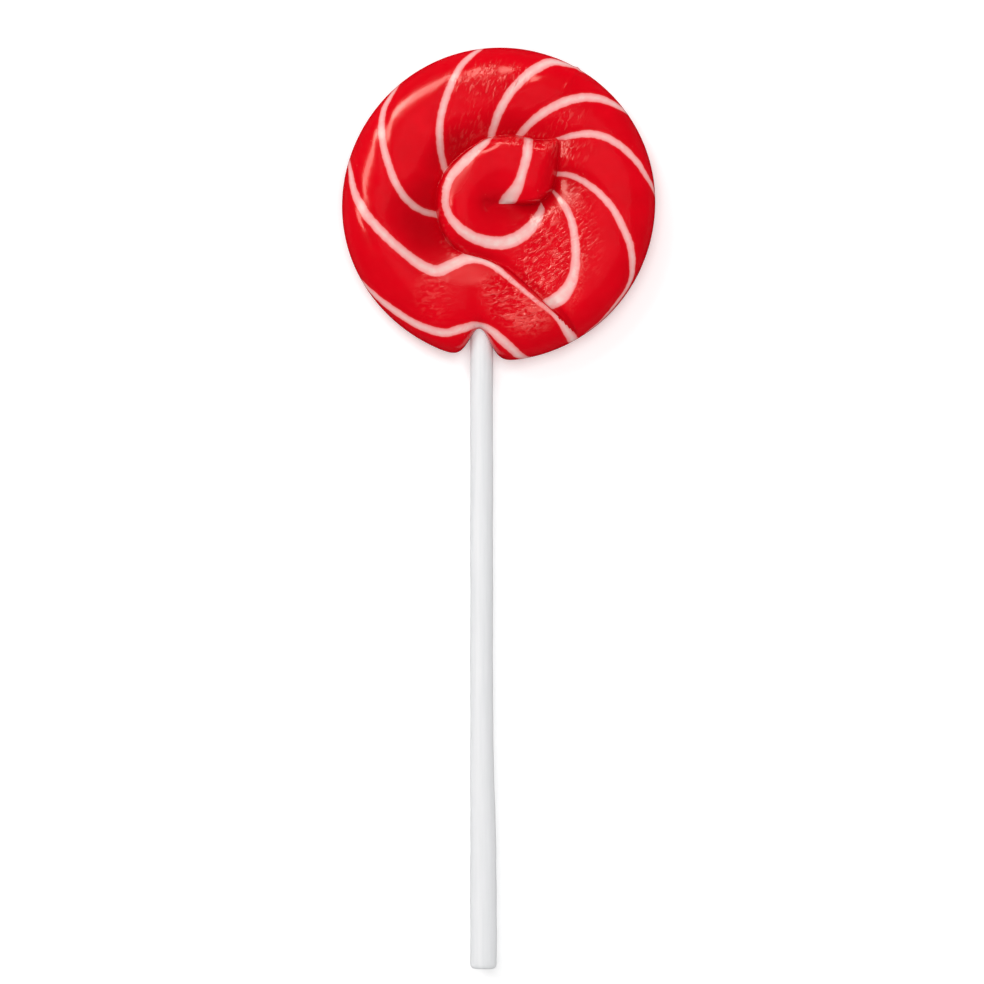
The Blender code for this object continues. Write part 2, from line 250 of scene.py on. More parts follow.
# Middle line and width of each white stripe as it lies on the swirl's side: (x, y, width), from the rim inwards.
STRIPES = {
    "a": [(-3.35, 27.25, 1.06), (-5.43, 25.56, 1.14), (-7.2, 23.56, 1.27), (-9.07, 19.46, 1.3), (-10.4, 14.85, 1.32),
          (-10.58, 10.58, 1.32), (-9.92, 6.69, 1.23), (-9.15, 5.28, 1.23)],
    "b": [(13.73, 23.78, 1.23), (11.42, 24.48, 1.58), (9.03, 24.81, 1.85), (6.84, 23.85, 1.85), (4.76, 22.38, 1.67),
          (2.06, 19.6, 1.58), (0.0, 16.19, 1.5), (-1.15, 13.15, 1.32), (-1.62, 11.5, 1.23), (-1.83, 10.4, 1.23)],
    "c": [(23.76, 14.43, 1.14), (22.44, 15.89, 1.32), (20.24, 17.25, 1.44), (17.6, 18.25, 1.55),
          (14.52, 18.43, 1.58), (11.44, 17.69, 1.58), (8.36, 16.19, 1.51), (5.72, 14.26, 1.37), (3.52, 11.97, 1.23),
          (2.92, 10.88, 1.14)],
    "d": [(27.54, 0.53, 0.79), (26.84, 2.73, 0.95), (25.52, 4.93, 1.09), (23.76, 7.48, 1.2), (21.12, 9.94, 1.27),
          (18.48, 11.44, 1.3), (15.84, 12.02, 1.3), (13.2, 11.81, 1.14), (11.09, 11.35, 0.88), (9.68, 10.91, 0.63)],
    "e": [(14.93, -22.99, 0.35), (17.55, -20.91, 0.75), (19.5, -18.83, 0.98), (20.68, -17.36, 1.08),
          (22.1, -15.4, 1.15), (23.11, -13.11, 1.22), (23.28, -10.21, 1.27), (22.79, -7.22, 1.27),
          (21.52, -4.31, 1.27), (20.06, -1.5, 1.27), (17.95, 1.06, 1.23), (15.4, 3.24, 1.16), (12.76, 4.65, 1.02),
          (10.56, 5.05, 0.88), (9.33, 5, 0.79)],
    "f": [(7.22, -18.22, 1.58), (8.1, -17.92, 2.02), (9.42, -17.42, 2.46), (10.91, -16.4, 2.5),
          (12.06, -14.87, 2.15), (12.85, -13.02, 1.83), (13.25, -10.74, 1.58), (13.27, -8.45, 1.5),
          (13.09, -6.27, 1.41), (12.78, -4.22, 1.41), (12.14, -2.11, 1.3), (11.19, -0.35, 1.13), (10.12, 1.14, 0.67),
          (9.42, 2.02, 0.46)],
    "g": [(-18.01, 20.72, 1.06), (-19.57, 18.24, 1.14), (-20.66, 15.57, 1.23), (-20.67, 10.99, 1.27),
          (-19.04, 5.1, 1.27), (-16.7, 0.88, 1.23), (-14.03, -1.23, 1.16), (-11.44, -2.02, 1.09), (-10.33, -2.2, 1.06)],
    "h": [(-26.75, 8.01, 0.88), (-25.74, 2.29, 1.41), (-24.29, -0.79, 1.58), (-22.44, -3.43, 1.58),
          (-18.04, -7.83, 1.58), (-13.64, -11.13, 1.85), (-11.0, -12.01, 2.02), (-8.36, -10.91, 2.11),
          (-5.28, -9.68, 2.2), (-2.2, -10.38, 1.67), (0.0, -12.01, 1.14), (2.64, -14.21, 0.88), (6.16, -17.16, 0.81),
          (8.36, -18.83, 0.84), (10.12, -20.37, 1.06), (11.66, -22.35, 1.58), (12.76, -23.98, 1.85)],
    "i": [(-27.06, -8.71, 0.53), (-25.08, -12.67, 1.06), (-22.44, -15.84, 1.37), (-18.92, -18.74, 1.51),
          (-14.52, -21.47, 1.55), (-10.12, -22.88, 1.55), (-6.6, -22.18, 1.58), (-3.96, -21.56, 1.62),
          (-1.76, -22.44, 1.58), (0.88, -24.64, 1.65), (3.3, -26.84, 1.65)],
    "j": [(-1.14, 12.32, 1.06), (-1.76, 11.62, 1.58), (-2.55, 10.82, 2.02), (-3.87, 9.72, 2.2), (-5.9, 7.83, 2.25),
          (-7.13, 6.51, 2.18), (-8.71, 4.66, 1.94), (-9.57, 2.46, 1.76), (-9.79, 0, 1.69), (-9.15, -2.29, 1.76),
          (-7.39, -4.4, 1.83), (-4.75, -6.16, 1.97), (-1.67, -7.04, 2.18), (1.23, -7, 2.34), (3.61, -5.9, 2.29),
          (5.46, -4.31, 2.11), (6.78, -2.38, 1.69), (7.39, -0.62, 0.95), (7.53, 0.44, 0.35)],
    "k": [(5.1, 11.44, 1.58), (4.84, 9.33, 1.65), (4.58, 7.57, 1.65), (3.87, 5.1, 1.58), (2.99, 2.64, 2.02),
          (1.94, 1.06, 2.46), (1.14, -0.09, 2.64)],
}
OVER_RIM = ("a", "b", "c", "d", "g", "h", "i")    # these run on over the rim to the back
OFF_END = ("h", "i")                              # and these do so at their other end too
ON_KNOB = ("j", "k")


def through(rows, steps=14):
    """Smooth curve through the rows (Catmull-Rom)."""
    p = np.array(rows, float)
    p = np.vstack([2 * p[0] - p[1], p, 2 * p[-1] - p[-2]])
    out = []
    for i in range(1, len(p) - 2):
        for t in np.arange(steps) / steps:
            out.append(0.5 * (2 * p[i] + (p[i + 1] - p[i - 1]) * t + (2 * p[i - 1] - 5 * p[i] + 4 * p[i + 1] - p[i + 2])
                              * t**2 + (3 * p[i] - p[i - 1] - 3 * p[i + 1] + p[i + 2]) * t**3))
    out.append(p[-2])
    return np.array(out)


def on_top(rows):
    """The stripe's curve laid on the swirl's side: rows of x, y, z, width."""
    line = through(rows)
    x, y = line[:, 0], before_push(line[:, 0], line[:, 1])
    th, r = np.degrees(np.arctan2(y, x)) % 360, np.hypot(x, y)
    past = np.maximum(r - outline(th), 0)
    inside = np.minimum(r, outline(th) - 0.01) / r
    x, y = x * inside, y * inside
    z = np.where(past > 0, RIM_Z + 0.2 - 2.0 * past, top(x, y))
    return np.stack([x, y + push(x, y), z, line[:, 2]], 1)


def on_back(line, reach=17.0):
    """The stripe's way from the rim over the back, as far in as the second turn. It sets out at the slope it has
    above the rim and winds less further in."""
    th = np.degrees(np.arctan2(before_push(line[:, 0], line[:, 1]), line[:, 0]))
    k = int(np.argmax(line[:, 2] > line[0, 2] + 1.6))
    along = math.radians((th[k] - th[0] + 180) % 360 - 180) * DISC_R
    down = math.hypot(line[k, 2] - line[0, 2], np.hypot(*line[0, :2]) - np.hypot(*line[k, :2]))
    lean = min(max(along / down, -2.2), 2.2)
    ease = 0.7 if lean > 0.4 else 0.6 * lean
    d = 0.002 + reach * np.linspace(0, 1, 110) ** 2.2
    c, s = math.cos(math.radians(th[0])), math.sin(math.radians(th[0]))
    r = outline(th[0] % 360) - d
    z = bottom(r * c, r * s)
    u = np.concatenate([[0], np.cumsum(np.hypot(np.diff(d), np.diff(z)))]) + RIM_Z - z[0]
    keep = u > RIM_Z - line[0, 2] + 0.05
    d, u, r = d[keep], u[keep], r[keep]
    wound = ease * (u - u[0]) + (lean - ease) * 5.0 * (1 - np.exp((u[0] - u) / 5.0)) + lean * (u[0] + line[0, 2] - RIM_Z)
    turned = np.concatenate([[wound[0] / DISC_R], wound[0] / DISC_R + np.cumsum(np.diff(wound) / r[1:])])
    at = th[0] - np.degrees(turned)
    r = outline(at % 360) - d
    x, y = r * np.cos(np.radians(at)), r * np.sin(np.radians(at))
    width = line[0, 3] + (1.1 * line[28, 3] - line[0, 3]) * smooth(0.0, 3.0, u)
    return np.stack([x, y + push(x, y), bottom(x, y), width], 1)


def stripe_distance(points, lines):
    """Millimetres inside the nearest stripe's edge, negative outside."""
    inside = np.full(len(points), -3.0)
    for line in lines:
        lo, hi = line[:, :3].min(0) - 3.2, line[:, :3].max(0) + 3.2
        near = np.nonzero(((points > lo) & (points < hi)).all(1))[0]
        a, b = line[:-1, :3], line[1:, :3]
        run = b - a
        length2 = (run**2).sum(1) + 1e-12
        for start in range(0, len(near), 5000):
            k = near[start : start + 5000]
            p = points[k]
            t = np.clip(((p[:, None] - a) * run).sum(2) / length2, 0, 1)
            away = np.sqrt(((p[:, None] - a - t[..., None] * run) ** 2).sum(2))
            half = 0.5 * (line[:-1, 3] + t * (line[1:, 3] - line[:-1, 3]))
            inside[k] = np.maximum(inside[k], (half - away).max(1))
    return inside


# ---------------------------------------------------------------- wrinkled places

def ellipse(x, y, cx, cy, rx, ry, turn, soft=0.35):
    """1 inside a turned ellipse, fading out over the soft share of its radius."""
    c, s = math.cos(math.radians(turn)), math.sin(math.radians(turn))
    u, v = (x - cx) * c + (y - cy) * s, -(x - cx) * s + (y - cy) * c
    return smooth(1 + soft, 1 - soft, np.hypot(u / rx, v / ry))


def wrinkled(x, y):
    """Where the sugar's skin is wrinkled, as it lies: worm-like, slanted, and in long fine streaks. The wrinkles'
    crests there also get a painted highlight.
    """
    worm = ellipse(x, y, 2.8, -17.6, 6.3, 4.2, -38)
    worm = np.maximum(worm, 0.45 * ellipse(x, y, -11.6, -16.2, 3.0, 3.8, 0, 0.7))
    slant = ellipse(x, y, 7.6, -9.6, 4.4, 7.4, -14)
    slant = np.maximum(slant, 0.42 * ellipse(x, y, 15.0, -4.5, 2.6, 8.2, 10, 0.5))
    streaks = ellipse(x, y, -2.2, 21.6, 6.6, 3.0, 5)
    streaks = np.maximum(streaks, 0.36 * ellipse(x, y, -5.2, 14.6, 3.6, 6.2, -12, 0.6))
    streaks = np.maximum(streaks, 0.5 * ellipse(x, y, 12.2, 14.4, 3.2, 2.0, 20, 0.6))
    streaks = np.maximum(streaks, 0.5 * ellipse(x, y, 12.0, 9.2, 4.0, 2.6, 0, 0.6))
    streaks = np.maximum(streaks, 0.9 * ellipse(x, y, 5.5, 10.9, 5.6, 1.5, -6))
    return worm, slant, streaks


def glint_paint_and_bump_places(x, y):
    """Where the wrinkles' crests get the most painted highlight and the skin its roughest bump."""
    glint_paint_and_bump = ellipse(x, y, 6.0, -19.9, 3.6, 2.3, 38, 0.6)
    glint_paint_and_bump = np.maximum(glint_paint_and_bump, 0.95 * ellipse(x, y, 13.7, -14.0, 1.0, 4.2, -14, 0.7))
    glint_paint_and_bump = np.maximum(glint_paint_and_bump, 0.8 * ellipse(x, y, 9.9, -1.9, 0.9, 1.5, 10, 0.7))
    glint_paint_and_bump = np.maximum(glint_paint_and_bump, 0.8 * ellipse(x, y, 12.9, -0.1, 1.8, 1.3, -20, 0.7))
    glint_paint_and_bump = np.maximum(glint_paint_and_bump, 0.5 * ellipse(x, y, 1.9, 11.1, 2.2, 0.8, 0, 0.7))
    glint_paint_and_bump = np.maximum(glint_paint_and_bump, 0.6 * ellipse(x, y, 9.0, 10.2, 1.5, 1.0, 0, 0.7))
    return np.maximum(glint_paint_and_bump, 0.3 * ellipse(x, y, -3.4, 22.1, 4.6, 0.8, 8, 0.6))


def rubbed(x, y):
    """Where the skin is rubbed dull, on the hump over the stick's end and on the knob's shoulder."""
    return np.maximum(ellipse(x, y, -6.2, -12.0, 5.0, 2.3, 0, 0.5), 0.7 * ellipse(x, y, -7.4, 4.6, 1.6, 4.2, -28, 0.6))


def max_of(values):
    return np.maximum(np.maximum(values[0], values[1]), values[2])


# ---------------------------------------------------------------- candy mesh

def turn_angles():
    fine = np.linspace(0, 360, 7201)
    load = np.cumsum(1 + wave(fine, (1.6, 262, 13)))
    load = (load - load[0]) / (load[-1] - load[0])
    return np.interp(np.arange(TURN_STEPS) / TURN_STEPS, load, fine)


def seeds(reach, spacing, near, far, fine=False):
    """Triangular net of points out to reach, twice as close where the sugar is wrinkled, leaving out a strip beside
    the edge curve."""
    found = []
    for step in (spacing, spacing / 2) if fine else (spacing,):
        n = int(reach / step) + 2
        i, j = np.meshgrid(np.arange(-n, n + 1), np.arange(-2 * n, 2 * n + 1))
        x = (i + 0.5 * (j % 2)) * step
        y = j * step * 0.8660254
        keep = np.hypot(x, y) < reach
        x, y = x[keep], y[keep]
        if fine:
            patch = max_of(wrinkled(x, y + push(x, y))) > 0.12
            keep = patch if step < spacing else ~patch
            x, y = x[keep], y[keep]
        away, _ = from_edge(x, y)
        free = (away > far + 0.6 * step) | (away < near - 0.6 * step)
        found.append(np.stack([x[free], y[free]], 1))
    return np.vstack(found)


def beside_edge(reach, offsets, spacing):
    line = EDGE[:, :2]
    along = np.concatenate([[0], np.cumsum(np.hypot(*np.diff(line, axis=0).T))])
    at = np.linspace(0, along[-1], int(along[-1] / spacing) + 1)
    x, y = np.interp(at, along, line[:, 0]), np.interp(at, along, line[:, 1])
    for _ in range(3):
        x[1:-1], y[1:-1] = (x[:-2] + 2 * x[1:-1] + x[2:]) / 4, (y[:-2] + 2 * y[1:-1] + y[2:]) / 4
    slope = np.hypot(np.gradient(x), np.gradient(y))
    side = np.stack([np.gradient(y) / slope, -np.gradient(x) / slope], 1)
    rows = []
    for offset in offsets:
        p = np.stack([x, y], 1) + offset * side
        away, _ = from_edge(p[:, 0], p[:, 1])
        fits = (np.hypot(p[:, 0], p[:, 1]) < reach) & (np.abs(away - offset) < 0.04 + 0.03 * abs(offset))
        rows.append((p, fits))
    return rows


def candy():
    """(points in mm from the candy's middle, faces, how many points belong to the swirl's side)."""
    th = turn_angles()
    cos, sin = np.cos(np.radians(th)), np.sin(np.radians(th))
    xy, z, faces = [], [], []

    def add(x, y, height):
        first = sum(len(c) for c in z)
        xy.append(np.stack([x, y + push(x, y)], 1))
        z.append(height)
        return first + np.arange(len(x))

    def side(rim, height, depths, offsets, along, spacing):
        last = rim
        after = (np.arange(TURN_STEPS) + 1) % TURN_STEPS
        for depth in depths:
            r = outline(th) - depth
            ring = add(r * cos, r * sin, height(r * cos, r * sin))
            faces.append(np.stack([last, last[after], ring[after]], 1))
            faces.append(np.stack([last, ring[after], ring], 1))
            last = ring
        r = outline(th) - depths[-1]
        points = [Vector((a, b)) for a, b in zip(r * cos, r * sin)]
        reach = float(r.min()) - 0.6 * spacing
        lines = []
        for p, fits in beside_edge(reach, offsets, along):
            before = None
            for (a, b), fit in zip(p, fits):
                if fit:
                    points.append(Vector((a, b)))
                    if before is not None:
                        lines.append((before, before + 1))
                before = len(points) - 1 if fit else None
        points += [Vector((a, b)) for a, b in seeds(reach, spacing, min(offsets), max(offsets), height is top)]
        flat, _, found, origin, _, _ = delaunay_2d_cdt(points, lines, [list(range(TURN_STEPS))], 1, 1e-5)
        x, y = np.array([p[0] for p in flat]), np.array([p[1] for p in flat])
        on_ring = np.array([next((k for k in sources if k < TURN_STEPS), -1) for sources in origin])
        new = on_ring < 0
        index = np.empty(len(x), int)
        index[~new] = last[on_ring[~new]]
        index[new] = add(x[new], y[new], height(x[new], y[new]))
        faces.append(index[np.array([f for f in found if len(f) == 3])])

    radius = outline(th)
    rim = add(radius * cos, radius * sin, np.full(TURN_STEPS, RIM_Z))
    steps = 17
    side(rim, top, [4.4 * (k / steps) ** 2 for k in range(1, steps + 1)],
         (0.0, 0.1, 0.24, 0.42, 0.66, 0.94, -0.1, -0.24, -0.42, -0.66, -0.94), 0.26, NET)
    count = sum(len(c) for c in z)
    steps = 9
    side(rim, bottom, [5.8 * (k / steps) ** 2 for k in range(1, steps + 1)], (0.0, 0.6, 1.2, -0.6, -1.2), 0.8, 0.85)
    return np.column_stack([np.vstack(xy), np.concatenate(z)]), np.vstack(faces), count


def neighbour_mean(points, faces, values):
    edges = np.vstack([faces[:, [0, 1]], faces[:, [1, 2]], faces[:, [2, 0]]])
    a = np.concatenate([edges[:, 0], edges[:, 1]])
    b = np.concatenate([edges[:, 1], edges[:, 0]])
    total = np.bincount(a, weights=values[b], minlength=len(points))
    return total / np.maximum(np.bincount(a, minlength=len(points)), 1)


def lattice_noise(x, y, seed):
    """Smooth value noise on a unit lattice, -1 to 1."""
    i, j = np.floor(x).astype(int), np.floor(y).astype(int)
    u, v = x - i, y - j
    u, v = u * u * (3 - 2 * u), v * v * (3 - 2 * v)

    def value(a, b):
        h = np.sin(a * 127.1 + b * 311.7 + seed * 74.7) * 43758.5453
        return 2 * (h - np.floor(h)) - 1

    low = value(i, j) * (1 - u) + value(i + 1, j) * u
    high = value(i, j + 1) * (1 - u) + value(i + 1, j + 1) * u
    return low * (1 - v) + high * v


def new_piece(name, points, faces, material):
    mesh = bpy.data.meshes.new(name)
    mesh.from_pydata((points * MM).tolist(), [], faces.tolist())
    mesh.validate()
    mesh.shade_smooth()
    mesh.materials.append(material)
    obj = bpy.data.objects.new(name, mesh)
    bpy.context.scene.collection.objects.link(obj)
    return obj


def set_values(obj, name, values):
    layer = obj.data.attributes.new(name, "FLOAT", "POINT")
    layer.data.foreach_set("value", np.asarray(values, np.float32))


def build_candy(material):
    p, faces, top_count = candy()
    area = np.cross(p[faces[:, 1]] - p[faces[:, 0]], p[faces[:, 2]] - p[faces[:, 0]])
    is_top = np.zeros(len(p), bool)
    is_top[:top_count] = True
    upward = is_top[faces].all(1)
    flip = (upward & (area[:, 2] < 0)) | (~upward & (area[:, 2] > 0))
    faces[flip] = faces[flip][:, ::-1]

    x, y = p[:, 0], p[:, 1]
    y0 = before_push(x, y)
    d, part = from_edge(x, y0)
    th, r = np.degrees(np.arctan2(y0, x)) % 360, np.hypot(x, y0)
    rim_in = outline(th) - r

    # The knob's flanks and the valley swell softly: only the groove along the second turn's edge itself stays sharp.
    z = p[:, 2].copy()
    free = is_top * smooth(0.5, 1.5, np.abs(d)) * smooth(15.5, 13.0, r) * 0.9
    for _ in range(int(40 * (0.29 / NET) ** 2)):
        z = z + free * (neighbour_mean(p, faces, z) - z)
    p[:, 2] = z

    # Stripes
    over = {}
    for name, rows in STRIPES.items():
        over[name] = on_top(rows)
    backs = []
    for name in OVER_RIM:
        back = on_back(over[name])
        backs.append(np.vstack([over[name][20::-1], back]))
        over[name] = np.vstack([back[40::-1], over[name]])
    for name in OFF_END:
        back = on_back(over[name][::-1], 4.5)
        backs.append(np.vstack([over[name][-20:], back]))
        over[name] = np.vstack([over[name], back[:40]])
    knob = stripe_distance(p, [over["j"]])
    knob_end = stripe_distance(p, [over["k"]])
    ring = stripe_distance(p, [over[n] for n in STRIPES if n not in ON_KNOB and n != "f"])
    blob = stripe_distance(p, [over["f"]])
    at_tip = (d < 0.05) & (th > 180) & (th < TIP_DEG) & (r > seam(th) - 0.2)
    second = (d > 0.05) | ((d < 0) & (r < 9.5) & (x > 0) & (y0 < 2.5) & ((part > 2.2) | (d < -2.5)))
    stripe = np.maximum(np.where(second, knob, -3.0), np.where(d > 0.05, knob_end, -3.0))
    stripe = np.maximum(stripe, np.where(d < -0.05, ring, -3.0))
    stripe = np.maximum(stripe, np.where(at_tip | (np.abs(d) <= 0.05), -3.0, blob))
    stripe = np.where(is_top, stripe, stripe_distance(p, backs))
    near_rim = is_top & (rim_in < 1.5) & (d < 0)
    stripe = np.where(near_rim, np.maximum(stripe, ring), stripe)

    # The red bands stand a little proud of the stripes.
    p[:, 2] -= np.where(is_top, (0.14 - 0.09 * (d > 0)) * smooth(-1.3, 0.4, stripe) * smooth(0.5, 2.0, rim_in), 0)

    # The hand-pulled rope is never quite even.
    swell = 0.06 * lattice_noise(x / 4.3 + 9, y / 4.3, 21) + 0.018 * lattice_noise(x / 2.1, y / 2.1 + 4, 22)
    p[:, 2] += np.where(is_top, swell * smooth(6.0, 10.0, rim_in) * smooth(0.2, 1.2, np.abs(d)), 0)

    # Wrinkles of the skin, a few hundredths of a millimetre high.
    worm, slant, streaks = (w * is_top * smooth(0.1, 0.6, np.abs(d)) for w in wrinkled(x, y))
    worm = worm * (d < 0)
    slant = slant * np.where(at_tip, 0, 1)
    across = 1 - 0.7 * smooth(-0.3, 0.3, stripe)
    bend_x = x + 0.5 * lattice_noise(x * 0.9, y * 0.9, 3) + 0.22 * lattice_noise(x * 2.1, y * 2.1, 4)
    bend_y = y + 0.5 * lattice_noise(x * 0.9, y * 0.9, 5) + 0.22 * lattice_noise(x * 2.1, y * 2.1, 6)
    wormy = lattice_noise(bend_x * 1.25, bend_y * 1.75, 7) + 0.5 * lattice_noise(bend_x * 2.6, bend_y * 3.2, 8)
    c, s = math.cos(0.62), math.sin(0.62)
    u, v = bend_x * c + bend_y * s, -bend_x * s + bend_y * c
    slanted = lattice_noise(u * 1.1, v * 2.7, 9) + 0.3 * lattice_noise(u * 2.0, v * 3.6, 10)
    c, s = math.cos(1.22), math.sin(1.22)
    u, v = bend_x * c + bend_y * s, -bend_x * s + bend_y * c
    streaky = lattice_noise(u * 0.7, v * 2.3, 11) + 0.4 * lattice_noise(u * 1.6, v * 4.0, 12)
    p[:, 2] += across * (0.06 * worm * wormy + 0.05 * slant * slanted + 0.04 * streaks * np.maximum(streaky, -0.1))

    piece = new_piece("candy_swirl_sugar", p + np.array([DISC_X, DISC_Y, 0]), faces, material)
    set_values(piece, "stripe", stripe)
    set_values(piece, "worm", worm)
    set_values(piece, "slant", slant)
    set_values(piece, "streaks", streaks)
    # Painted highlight: where the wrinkles' crests are painted lightest, as glints; the same places get a rougher bump.
    set_values(piece, "glint_paint_and_bump", glint_paint_and_bump_places(x, y) * is_top)
    set_values(piece, "dull", rubbed(x, y) * is_top)
    # Painted shade: how far each point lies down in the dips, dents and the hollow under the fold, used to darken the
    # colour there.
    reach = np.interp(part, DIP_AT, DIP_REACH)
    deep = np.interp(part, DIP_AT, DIP) * np.clip(1 - np.abs(d) / reach, 0, 1) ** 1.2 + dents(x, y0)
    deep = np.where(d < 0, deep, 0.55 * smooth(0.42, 0.2, part) * smooth(2.6, 0.6, d)) + hollow(x, y0) * np.where(d < 0, 1, smooth(2.4, 2.95, part))
    set_values(piece, "deep", np.clip(deep / 2.1, 0, 1) * is_top)
    # Painted shade: the colour darkens along the second turn's edge, where the groove's shade falls, by different
    # amounts along the edge.
    seam_shade = np.exp(-((d / 0.42) ** 2)) * np.interp(part, [0, 0.4, 0.5, 0.75, 0.9, 2.0, 2.3, 2.7], [1, 0.8, 0.1, 0.1, 0.3, 0.5, 0.2, 0])
    set_values(piece, "seam_shade", seam_shade * smooth(0.3, 1.2, rim_in))

    # A map of its own: the swirl's side and the back as two discs, opened out at the rim.
    reach = np.hypot(x, y) + 3.2 * smooth(6.0, 0.0, rim_in)
    reach = reach / 31.5
    turn = np.arctan2(y, x)
    uv_layer = piece.data.uv_layers.new(name="OFBake")
    loops = np.empty(len(piece.data.loops), np.int32)
    piece.data.loops.foreach_get("vertex_index", loops)
    loop_top = np.repeat(upward, 3) if len(loops) == 3 * len(faces) else is_top[loops]
    radius = np.where(loop_top, 0.355, 0.215) * reach[loops]
    uv = np.stack([np.where(loop_top, 0.365, 0.775) + radius * np.cos(turn[loops]),
                   np.where(loop_top, 0.365, 0.775) + radius * np.sin(turn[loops])], 1)
    uv_layer.data.foreach_set("uv", uv.astype(np.float32).ravel())
    return piece


# ---------------------------------------------------------------- stick

def build_stick(material):
    sides = 64
    ys = list(np.linspace(STICK_IN_Y, STICK_END_Y + 1.2, 260))
    rows = []
    rows.append((STICK_IN_Y, 0.35))
    for y in ys:
        rows.append((y, 1.0))
    for back, share in ((0.9, 0.995), (0.65, 0.98), (0.42, 0.95), (0.24, 0.90), (0.12, 0.82), (0.04, 0.70), (0.0, 0.5), (-0.02, 0.22)):
        rows.append((STICK_END_Y + 0.02 + back, share))
    a = 2 * math.pi * np.arange(sides) / sides
    points = []
    for y, share in rows:
        wider = FLARE_W * float(smooth(FLARE_FROM_Y, FLARE_TO_Y, y))
        half = STICK_R + wider / 2
        wobble = 0.02 * math.sin(y * 0.31) + 0.015 * math.sin(y * 0.83 + 1)
        points.append(np.stack([STICK_X + wider / 2 + half * share * np.cos(a) + wobble,
                                np.full(sides, y),
                                STICK_Z + STICK_R * share * np.sin(a)], 1))
    p = np.vstack(points)
    n = len(rows)
    i, k = np.meshgrid(np.arange(n - 1), np.arange(sides), indexing="ij")
    after = (k + 1) % sides
    quads = np.stack([i * sides + k, i * sides + after, (i + 1) * sides + after, (i + 1) * sides + k], -1).reshape(-1, 4)
    faces = [list(f) for f in quads]
    faces.append([int(v) for v in range(sides)][::-1])
    faces.append([int(v) for v in range((n - 1) * sides, n * sides)])
    mesh = bpy.data.meshes.new("stick_rod")
    mesh.from_pydata((p * MM).tolist(), [], [[int(v) for v in f] for f in faces])
    mesh.validate()
    import bmesh

    bm = bmesh.new()
    bm.from_mesh(mesh)
    bmesh.ops.recalc_face_normals(bm, faces=bm.faces)
    bm.to_mesh(mesh)
    bm.free()
    mesh.shade_smooth()
    mesh.materials.append(material)
    obj = bpy.data.objects.new("stick_rod", mesh)
    bpy.context.scene.collection.objects.link(obj)
    return obj


# ---------------------------------------------------------------- materials

class Nodes:
    def __init__(self, name):
        self.material = bpy.data.materials.new(name)
        self.material.use_nodes = True
        self.tree = self.material.node_tree
        self.shader = self.tree.nodes["Principled BSDF"]
        self.out = self.tree.nodes["Material Output"]

    def add(self, kind, **settings):
        node = self.tree.nodes.new(kind)
        inputs = settings.pop("inputs", {})
        for key, value in settings.items():
            setattr(node, key, value)
        for key, value in inputs.items():
            if hasattr(value, "is_linked") or hasattr(value, "links"):
                self.tree.links.new(value, node.inputs[key])
            else:
                node.inputs[key].default_value = value
        return node

    def math(self, operation, a, b=None, c=None, clamp=False):
        node = self.tree.nodes.new("ShaderNodeMath")
        node.operation, node.use_clamp = operation, clamp
        for i, value in enumerate((a, b, c)):
            if value is None:
                continue
            if isinstance(value, (int, float)):
                node.inputs[i].default_value = value
            else:
                self.tree.links.new(value, node.inputs[i])
        return node.outputs[0]

    def value(self, name):
        return self.add("ShaderNodeAttribute", attribute_name=name).outputs["Fac"]

    def ramp(self, value, stops, interpolation="LINEAR"):
        node = self.tree.nodes.new("ShaderNodeValToRGB")
        node.color_ramp.interpolation = interpolation
        elements = node.color_ramp.elements
        while len(elements) < len(stops):
            elements.new(0.5)
        for element, (position, colour) in zip(elements, stops):
            element.position = position
        for element, (position, colour) in zip(elements, stops):
            element.position = position
            element.color = (*colour, 1) if len(colour) == 3 else colour
        self.tree.links.new(value, node.inputs[0])
        return node.outputs[0]

    def range(self, value, a, b, c, d):
        node = self.tree.nodes.new("ShaderNodeMapRange")
        for i, v in enumerate((a, b, c, d)):
            node.inputs[i + 1].default_value = v
        self.tree.links.new(value, node.inputs[0])
        return node.outputs[0]

    def mix(self, factor, a, b, blend="MIX"):
        node = self.tree.nodes.new("ShaderNodeMix")
        node.data_type, node.blend_type = "RGBA", blend
        for socket, value in ((node.inputs[0], factor), (node.inputs[6], a), (node.inputs[7], b)):
            if isinstance(value, (int, float)):
                socket.default_value = value
            elif isinstance(value, tuple):
                socket.default_value = (*value, 1)
            else:
                self.tree.links.new(value, socket)
        return node.outputs[2]

    def noise(self, vector, scale, detail=2.0, roughness=0.5, distortion=0.0, kind="ShaderNodeTexNoise"):
        node = self.add(kind, inputs={"Vector": vector, "Scale": scale, "Detail": detail, "Roughness": roughness,
                                      "Distortion": distortion})
        return node.outputs[0]

    def mapping(self, vector, scale=(1, 1, 1), rotation=(0, 0, 0), location=(0, 0, 0)):
        node = self.add("ShaderNodeMapping", inputs={"Vector": vector, "Scale": scale, "Rotation": rotation,
                                                     "Location": location})
        return node.outputs[0]


